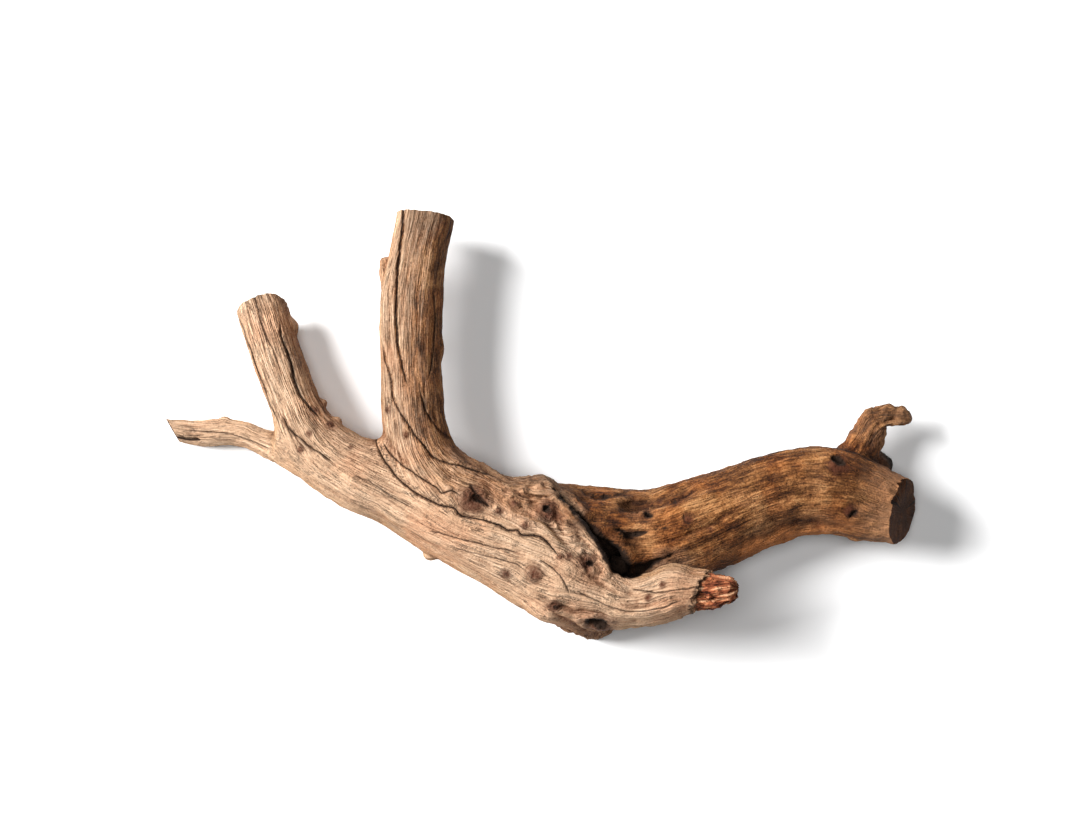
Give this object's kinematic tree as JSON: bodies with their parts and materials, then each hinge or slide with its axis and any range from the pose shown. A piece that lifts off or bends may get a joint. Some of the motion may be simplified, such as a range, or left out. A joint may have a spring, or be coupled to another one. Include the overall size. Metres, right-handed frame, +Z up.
{
  "type": "piece of driftwood",
  "caption": "Weathered, cracked driftwood branch lying on its side, with sawn stumps, a broken spur, a thin twig and a small hooked twig.",
  "frame": {"origin": "middle of the box that holds the wood, on the surface it rests on", "axes": "+X along the trunk towards its sawn end, +Y the way the two sawn stumps point, +Z up from the resting surface"},
  "size_m": [0.4964, 0.2833, 0.0887],
  "materials": {
    "weathered_wood": "matt, bare, dry and furrowed along the grain"
  },
  "bodies": {
    "root": {"driftwood": "weathered_wood"}
  },
  "joints": []
}
